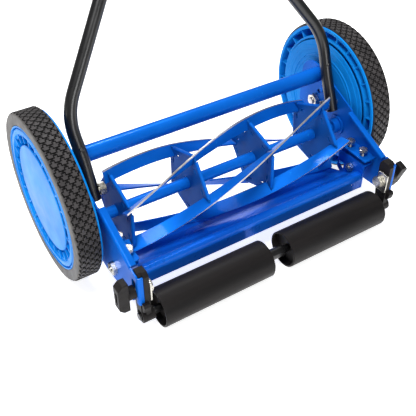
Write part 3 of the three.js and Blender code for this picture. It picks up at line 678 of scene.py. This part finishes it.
# ---- reel ------------------------------------------------------------------------------------------------

REEL_R = 66.4
BLADE_HALF = 197.5
BLADE_START, BLADE_TWIST = math.radians(76), math.radians(-124.5)
BLADES = 5
SPIDER_X = (-191, -69.5, 52, 173.5)


def blade_angle(x):
    """Where the first blade stands around the reel, at a distance x along it."""
    return BLADE_START + BLADE_TWIST * (x + BLADE_HALF) / (2 * BLADE_HALF)


def reel_blade(number, steps=160):
    """A twisted strip. Its ground outer edge is bare, and tagged 1."""
    section = [(46, -1.3), (46, 1.3), (46.2, 1.5), (64.4, 1.5), (REEL_R, 1.0), (REEL_R, -1.35), (46.2, -1.5)]
    marks = [0, 0, 0, 1, 1, 0, 0]
    points, faces, tags = [], [], []
    n = len(section)
    for k in range(steps + 1):
        x = -BLADE_HALF + 2 * BLADE_HALF * k / steps
        a = blade_angle(x) + number * 2 * math.pi / BLADES
        for r, across in section:
            points.append((x, REEL[0] + r * math.cos(a) - across * math.sin(a),
                           REEL[1] + r * math.sin(a) + across * math.cos(a)))
    for k in range(steps):
        for i in range(n):
            j = (i + 1) % n
            faces.append((k * n + i, k * n + j, (k + 1) * n + j, (k + 1) * n + i))
            tags.append(marks[i])
    faces += [tuple(range(n)), tuple(steps * n + i for i in range(n))]
    return shell(points, faces, tags + [0, 0])


def reel_spider(x):
    """Pressed five-sided plate, tagged 1 for painted shade: blade notches at the corners, folded lips and
    slots.
    """
    radius, notch, seat, thick, lip, lip_r = 64.0, 2.9, 45.2, 2.5, 4.5, 2.5
    wedge = 2 * math.pi / BLADES
    apothem = radius * math.cos(wedge / 2)
    rim = radius - notch * math.tan(wedge / 2)
    outline, holes, lips = [], [circle((0, 0), 9.5, 32)], []
    for i in range(BLADES):
        a = i * wedge
        outline += list(turned_about([(rim, -notch), (seat + 1, -notch), (seat, -notch + 1),
                                      (seat, notch - 1), (seat + 1, notch), (rim, notch)], a))
        side = a + wedge / 2
        outline += list(turned_about([(apothem, -28.4), (apothem - lip_r, -28), (apothem - lip_r, 30),
                                      (apothem, 30.4)], side))
        for along in (-15, 17):
            slot = [(38.6, along - 4.5), (41.4, along - 4.5), (41.4, along + 4.5), (38.6, along + 4.5)]
            holes.append(turned_about(rounded(slot, 1.3, 4), side))
        folded = slab([fold(5, lip, thick - 0.1, lip_r)], -28, 30, 0.3, axis="z")
        out = (0, math.cos(side), math.sin(side))
        across = (0, -math.sin(side), math.cos(side))
        lips.append(moved(folded, basis((0.05, *(c * apothem for c in out[1:])), out, (-1, 0, 0), across)))
    plate = slab([outline, *holes], 0, thick, 0.3)
    # The plate carries tag 1, the painted-shade blue; the lips keep the plain enamel.
    whole = merged(tagged(plate, 1), *lips)
    turn = Matrix.Rotation(blade_angle(x + thick / 2), 4, "X")
    return moved(moved(whole, turn), Matrix.Translation((x, *REEL)))


shaft = [(0, -261), (5.4, -261), (6, -260.4), (6, -212), (8.5, -212), (9, -211.5), (9, 211.5), (8.5, 212),
         (6, 212), (6, 260.4), (5.4, 261), (0, 261)]
piece("reel_shaft", turned(shaft, REEL, 48, False), "blue_paint", BLUE)
for i in range(BLADES):
    piece(f"reel_blade_{i + 1}", reel_blade(i), "blue_paint", [BLUE, GROUND_EDGE], weighted=False)
for i, x in enumerate(SPIDER_X):
    # The spider plates take the second, darker blue, which is painted shade.
    piece(f"reel_spider_{i + 1}", reel_spider(x), "blue_paint", [BLUE, BLUE_SPIDER_SHADE])
bearing = [(6.3, 214), (13, 214), (13, 224.5), (17.5, 224.5), (17.5, END), (15, END), (15, 237.5),
           (6.3, 237.5)]
pair("reel_bearing", turned(rounded(bearing, 0.6, 2), REEL, 56), "blue_paint", BLUE)


# ---- bed bar and knife -----------------------------------------------------------------------------------


def ribbon(line, thick, bend=8.0):
    """The outline of a bent sheet from the line through the middle of its thickness."""
    middle = np.array(rounded(line, bend, 6, closed=False))
    into = np.diff(middle, axis=0)
    into /= np.linalg.norm(into, axis=1)[:, None]
    mean = np.concatenate([into[:1], into[1:] + into[:-1], into[-1:]])
    mean /= np.linalg.norm(mean, axis=1)[:, None]
    across = np.stack([-mean[:, 1], mean[:, 0]], 1) * thick / 2
    return list(middle + across) + list((middle - across)[::-1])


def bed_bar():
    """A bent sheet with an upright ear and a tab for the screws at each end."""
    line = [(-62, 37.6), (-86, 37.6), (-102, 43.5), (-130, 59), (-145, 69.5), (-153, 69.5), (-155.5, 62),
            (-154.5, 43)]
    sheet = slab([ribbon(line, 2.6, [0, 8, 10, 12, 6, 4, 5, 0])], -205.6, 205.6, 0.5)
    drill = slab([circle((186, 56), 2.6, 24)], -165, -148, 0.1, 1, "y")
    sheet = carved(sheet, drill)
    ear = rounded([(-97, 52), (-97, 88), (-156.8, 88), (-156.8, 43), (-152, 40), (-112, 40)],
                  [4, 5, 2, 3, 3, 6], 4)
    notch = rounded([(-111, 52), (-101, 58), (-101, 66), (-113, 66)], 1.6, 3)
    side = slab([ear, circle(BED_PIVOT, 4.7, 24), notch], 204.6, 207.6, 0.4)
    tab = rounded([(204.8, -97), (222, -97), (222, -156.8), (204.8, -156.8)], [0, 3, 3, 0], 4)
    tab = slab([tab], 85.4, 88, 0.4, axis="z")
    return merged(sheet, side, tab, mirrored(side), mirrored(tab))


knife = [(-56, 39.2), (-61.6, 39.2), (-61.6, 36), (-86, 36), (-86, 33), (-59, 33)]
piece("bed_bar", bed_bar(), "blue_paint", BLUE_WET)
piece("bed_knife", slab([rounded(knife, [0, 0.3, 0.6, 0.5, 0.5, 0.3], 2)], -203, 203, 0.25), "steel", STEEL)

shank = [(0, 196.5), (3.5, 196.5), (4.2, 197.2), (4.2, 239), (0, 239)]
spacer = [(0, 208), (6.6, 208), (7, 208.4), (7, END - 0.4), (6.6, END), (0, END)]
pivot = merged(turned(shank, sides=28, closed=False), bolt_head(6.5, 198, 204.3, both=True),
               turned(spacer, sides=32, closed=False), bolt_head(9, PLATE_OUT + GAP, 237))
pair("bed_pivot_bolt", at_axis(pivot, BED_PIVOT), "zinc", ZINC)

UPRIGHT = Matrix.Rotation(-math.pi / 2, 4, "Y")
for place, y in SCREWS:
    screw = merged(mirrored(threaded(3, -106, -88.4)), bolt_head(6.4, 105.2, 110.7))
    placed = moved(moved(screw, UPRIGHT), Matrix.Translation((SCREW_X, y, 0)))
    pair(f"bed_screw_{place}", placed, "zinc", ZINC)


# ---- rollers, brackets, height adjustment ----------------------------------------------------------------

near, far, wall = 17, 201.7, 26
roll = [(6.3, near + 10), (wall, near + 10), (wall, near), (ROLLER_R, near), (ROLLER_R, far), (wall, far),
        (wall, far - 10), (6.3, far - 10), (6.3, far - 14), (wall, far - 14), (wall, near + 14),
        (6.3, near + 14)]
radii = [0, 1, 0.8, 1.6, 1.6, 0.8, 1, 0, 0, 1, 1, 0]
pair("roller", turned(rounded(roll, radii, 3), ROLLER, 80), "black_plastic", BLACK_PLASTIC)
hub = [(0, -230.4), (5.4, -230.4), (6, -229.8), (6, -16.7), (8, -16.7), (9, -15.7), (9, 15.7), (8, 16.7),
       (6, 16.7), (6, 229.8), (5.4, 230.4), (0, 230.4)]
piece("roller_shaft", turned(hub, ROLLER, 40, False), "black_paint", BLACK_PAINT)


def roller_bracket():
    """A moulded upright with a thinner half behind the plate's fold, a hooked lip and a round foot."""
    upright = [(-184, 29), (-179.5, 62), (-179.5, 106), (-184, 113), (-196.5, 113), (-202.5, 108),
               (-202.5, 29), *arc(ROLLER, 7, 180, 0, 10)]
    narrow = [(-184, 29), (-179.5, 62), (-179.5, 106), (-184, 113), (-194.5, 113), (-197.9, 109),
              (-197.9, 34.8), *arc(ROLLER, 7, 120, 0, 8)]
    hole = circle(HEIGHT_BOLT, 4.8, 24)
    lip = [(-201.4, 44), (-201.4, 61), (-207, 61), (-209, 57), (-207, 48)]
    lip = rounded(lip, [0, 0.5, 1.5, 1.5, 1.5], 3)
    foot = turned(rounded([(6.6, 208.5), (11, 208.5), (11, END), (6.6, END)], 0.8, 3), ROLLER, 40)
    return merged(slab([upright, hole], 214, 222.2, 0.8), slab([narrow, hole], 221.6, END, 0.4),
                  slab([lip], 217, END, 0.8), foot)


pair("roller_bracket", roller_bracket(), "black_plastic", BLACK_PLASTIC)

clip = slab([rounded([(-203, 60), (-183, 60), (-183, 94), (-203, 94)], 2, 4)], 211.2, 213.7, 0.4)
bolt = merged(mirrored(bolt_head(8.5, -211.7, -205)),
              turned([(0, 213), (4.4, 213), (4.4, 252), (0, 252)], sides=28, closed=False))
pair("height_bolt", merged(clip, at_axis(bolt, HEIGHT_BOLT)), "zinc", ZINC)


def height_knob(angle):
    """A flat wing with a slotted end, on a round stem."""
    side = rounded([(241, -25.5), (250.3, -25.5), (257, -18.8), (257, 18.8), (250.3, 25.5), (241, 25.5)],
                   [1.5, 3, 3, 3, 3, 1.5], 4)
    grip = slab([side], -8, 8, 1.6, 3, "y")
    stem = [(4.8, PLATE_OUT + GAP), (9.5, PLATE_OUT + GAP), (9.5, 242), (4.8, 242)]
    stem = turned(rounded(stem, 0.5, 2), (0, 0), 36)
    slot = slab([rounded([(-2.6, -11), (2.6, -11), (2.6, 11), (-2.6, 11)], 2.4, 5)], 252.5, 260, 0.2)
    turn = Matrix.Rotation(angle, 4, "X")
    return at_axis(moved(merged(carved(grip, slot), stem), turn), HEIGHT_BOLT)


piece("height_knob_right", height_knob(math.radians(20)), "black_plastic", BLACK_PLASTIC)
piece("height_knob_left", mirrored(height_knob(0)), "black_plastic", BLACK_PLASTIC)


# ---- handle: drawn upright from its hinge, then leaned ---------------------------------------------------

LEAN = Matrix.Translation((0, *HINGE)) @ Matrix.Rotation(-HANDLE_LEAN, 4, "X")
UPPER_BACK = -(2 * TUBE_R + GAP)
FOOT_X, NARROW_X = 217.8, 34
GRIP_HEIGHT = 985
BOLT_HEIGHTS = (("bottom", 480), ("top", 535))


def bent(places, radii, back):
    """A line of (x, height) places with bends of the given radii, in the plane y = back."""
    flat = rounded(places, radii, 16, closed=False)
    return [(x, back, h) for x, h in flat]


def handle_lower():
    line = bent([(FOOT_X, -13), (FOOT_X, 45), (222, 113), (NARROW_X, 398), (NARROW_X, 560)],
                [0, 200, 98, 60, 0], 0)
    tube = swept(line, TUBE_R, 32, TUBE_R - 2)
    drill = turned([(0, 200), (5.3, 200), (5.3, 235), (0, 235)], (0, 0), 24, False)
    return carved(tube, drill)


def handle_upper():
    rise = [(NARROW_X, 455), (NARROW_X, 650), (190, 845), (190, GRIP_HEIGHT)]
    fall = [(-x, h) for x, h in reversed(rise)]
    return swept(bent(rise + fall, [0, 70, 70, 45, 45, 70, 70, 0], UPPER_BACK), TUBE_R, 32, TUBE_R - 2)


def handle_bolt():
    """A bolt through both tubes with a wing nut behind."""
    front, back = TUBE_R + GAP, UPPER_BACK - TUBE_R - GAP
    to_y = Matrix.Rotation(math.pi / 2, 4, "Z")
    head = moved(bolt_head(5.2, front, front + 4), to_y)
    rod = [(0, back - 9), (2.5, back - 9), (3, back - 8.5), (3, front + 1), (0, front + 1)]
    rod = moved(turned(rod, sides=20, closed=False), to_y)
    hub_ring = rounded([(0, back - 6), (5, back - 6), (6, back), (0, back)], [0, 0.6, 0.3, 0], 2)
    nut = moved(turned(hub_ring, sides=28, closed=False), to_y)
    wing = [(3.5, back - 5.5), (5.5, back - 2), (14.4, back - 8.2), (13.6, back - 13.4), (9, back - 12.4)]
    wing = slab([rounded(wing, 2, 4)], -1.5, 1.5, 0.6, 2, "z")
    return merged(head, rod, nut, wing, mirrored(wing))


pair("handle_lower", moved(handle_lower(), LEAN), "black_paint", BLACK_PAINT)
piece("handle_upper", moved(handle_upper(), LEAN), "black_paint", BLACK_PAINT)
for place, height in BOLT_HEIGHTS:
    lifted = moved(handle_bolt(), Matrix.Translation((NARROW_X, 0, height)))
    pair(f"handle_bolt_{place}", moved(lifted, LEAN), "zinc", ZINC)

ripples = [(16 - 0.25 * (k % 2), x) for k, x in enumerate(np.linspace(-112, 112, 57))]
grip = [(10, -120), (14, -120), (15.4, -119.2), (16, -117), *ripples, (16, 117), (15.4, 119.2), (14, 120),
        (10, 120)]
grip = moved(turned(grip, (UPPER_BACK, GRIP_HEIGHT), 48), LEAN)
piece("handle_grip", grip, "grip_foam", FOAM)

rivet = [(0, -11.2), (2.6, -11.0), (3.4, -10.1), (3.4, -9), (3.4, 9), (3.4, 10.1), (2.6, 11.0), (0, 11.2)]
for side, sign in SIDES:
    pin = moved(turned(rivet, sides=24, closed=False), Matrix.Rotation(math.pi / 2, 4, "Z"))
    placed = moved(moved(pin, Matrix.Translation((sign * 218.6, 0, 64))), LEAN)
    piece(f"handle_pin_{side}", placed, "black_paint", BLACK_PAINT, body="handle")

tube_in = FOOT_X - TUBE_R
shank = [(0, tube_in - 1), (5, tube_in - 1), (5, PLATE_OUT + 1), (0, PLATE_OUT + 1)]
hinge = merged(mirrored(bolt_head(8.5, -(tube_in - GAP), -199)), turned(shank, sides=28, closed=False),
               bolt_head(8, PLATE_OUT + GAP, PLATE_OUT + 5))
pair("handle_pivot_bolt", at_axis(hinge, HINGE), "zinc", ZINC)


# ---- CAD nodes that stay, with their edges broken --------------------------------------------------------

for side, _ in SIDES:
    gear = frame["nodes"][f"pinion_{side}"]
    gear.data.materials.clear()
    gear.data.materials.append(STEEL)
    smoothed(gear.data, 30)
    broken = gear.modifiers.new("edges", "BEVEL")
    broken.width = 0.2 * MM
    broken.limit_method = "ANGLE"
    broken.angle_limit = math.radians(40)


# ---- floor, light, camera --------------------------------------------------------------------------------

FLOOR_HALF = 60.0
corners = [(x * FLOOR_HALF, y * FLOOR_HALF, 0) for x, y in ((-1, -1), (1, -1), (1, 1), (-1, 1))]
floor_mesh = bpy.data.meshes.new("floor")
floor_mesh.from_pydata(corners, [], [(0, 1, 2, 3)])
floor = bpy.data.objects.new("floor", floor_mesh)
bpy.context.scene.collection.objects.link(floor)
pale = bpy.data.materials.new("floor_white")
pale.use_nodes = True
pale_shader = pale.node_tree.nodes["Principled BSDF"]
pale_shader.inputs["Base Color"].default_value = (0.95, 0.95, 0.95, 1)
pale_shader.inputs["Roughness"].default_value = 0.9
pale_shader.inputs["Emission Color"].default_value = (1, 1, 1, 1)
pale_shader.inputs["Emission Strength"].default_value = 0.78
floor_mesh.materials.append(pale)

world = bpy.data.worlds.new("studio")
bpy.context.scene.world = world
world.use_nodes = True
world.node_tree.nodes["Background"].inputs["Color"].default_value = (1, 1, 1, 1)
world.node_tree.nodes["Background"].inputs["Strength"].default_value = 0.22


def soft_light(name, place, aim, size, power):
    """A round lamp at a place, turned towards its aim; the size is its width in metres."""
    data = bpy.data.lights.new(name, "AREA")
    data.shape = "DISK"
    data.size = size
    data.energy = power
    lamp = bpy.data.objects.new(name, data)
    lamp.location = place
    lamp.rotation_mode = "QUATERNION"
    lamp.rotation_quaternion = (Vector(aim) - Vector(place)).to_track_quat("-Z", "Y")
    bpy.context.scene.collection.objects.link(lamp)


soft_light("key", (-0.8, -0.7, 2.6), (0, 0, 0.1), 0.9, 62)
soft_light("top", (0.5, 1.2, 2.6), (0, 0, 0.1), 0.8, 54)
soft_light("side", (-2.6, -0.05, 0.24), (0, -0.05, 0.12), 0.6, 11.5)
soft_light("rear", (-0.1, -2.8, 1.2), (0, -0.1, 0.1), 1.2, 22)

# Where the camera stands, and its three axes, before the mower is levelled.
VIEW_FROM = (-0.4759, -0.7556, 0.7472)
VIEW_RIGHT = (0.8436, -0.5369, 0.001)
VIEW_UP = (0.3493, 0.5503, 0.7584)
VIEW_BACK = (-0.4078, -0.6394, 0.6518)

eye = bpy.data.cameras.new("camera")
eye.lens = 58.39
eye.sensor_width = 36
camera = bpy.data.objects.new("camera", eye)
camera.matrix_world = LEVEL @ basis(VIEW_FROM, VIEW_RIGHT, VIEW_UP, VIEW_BACK)
bpy.context.scene.collection.objects.link(camera)
bpy.context.scene.camera = camera
bpy.context.scene.view_settings.view_transform = "Standard"
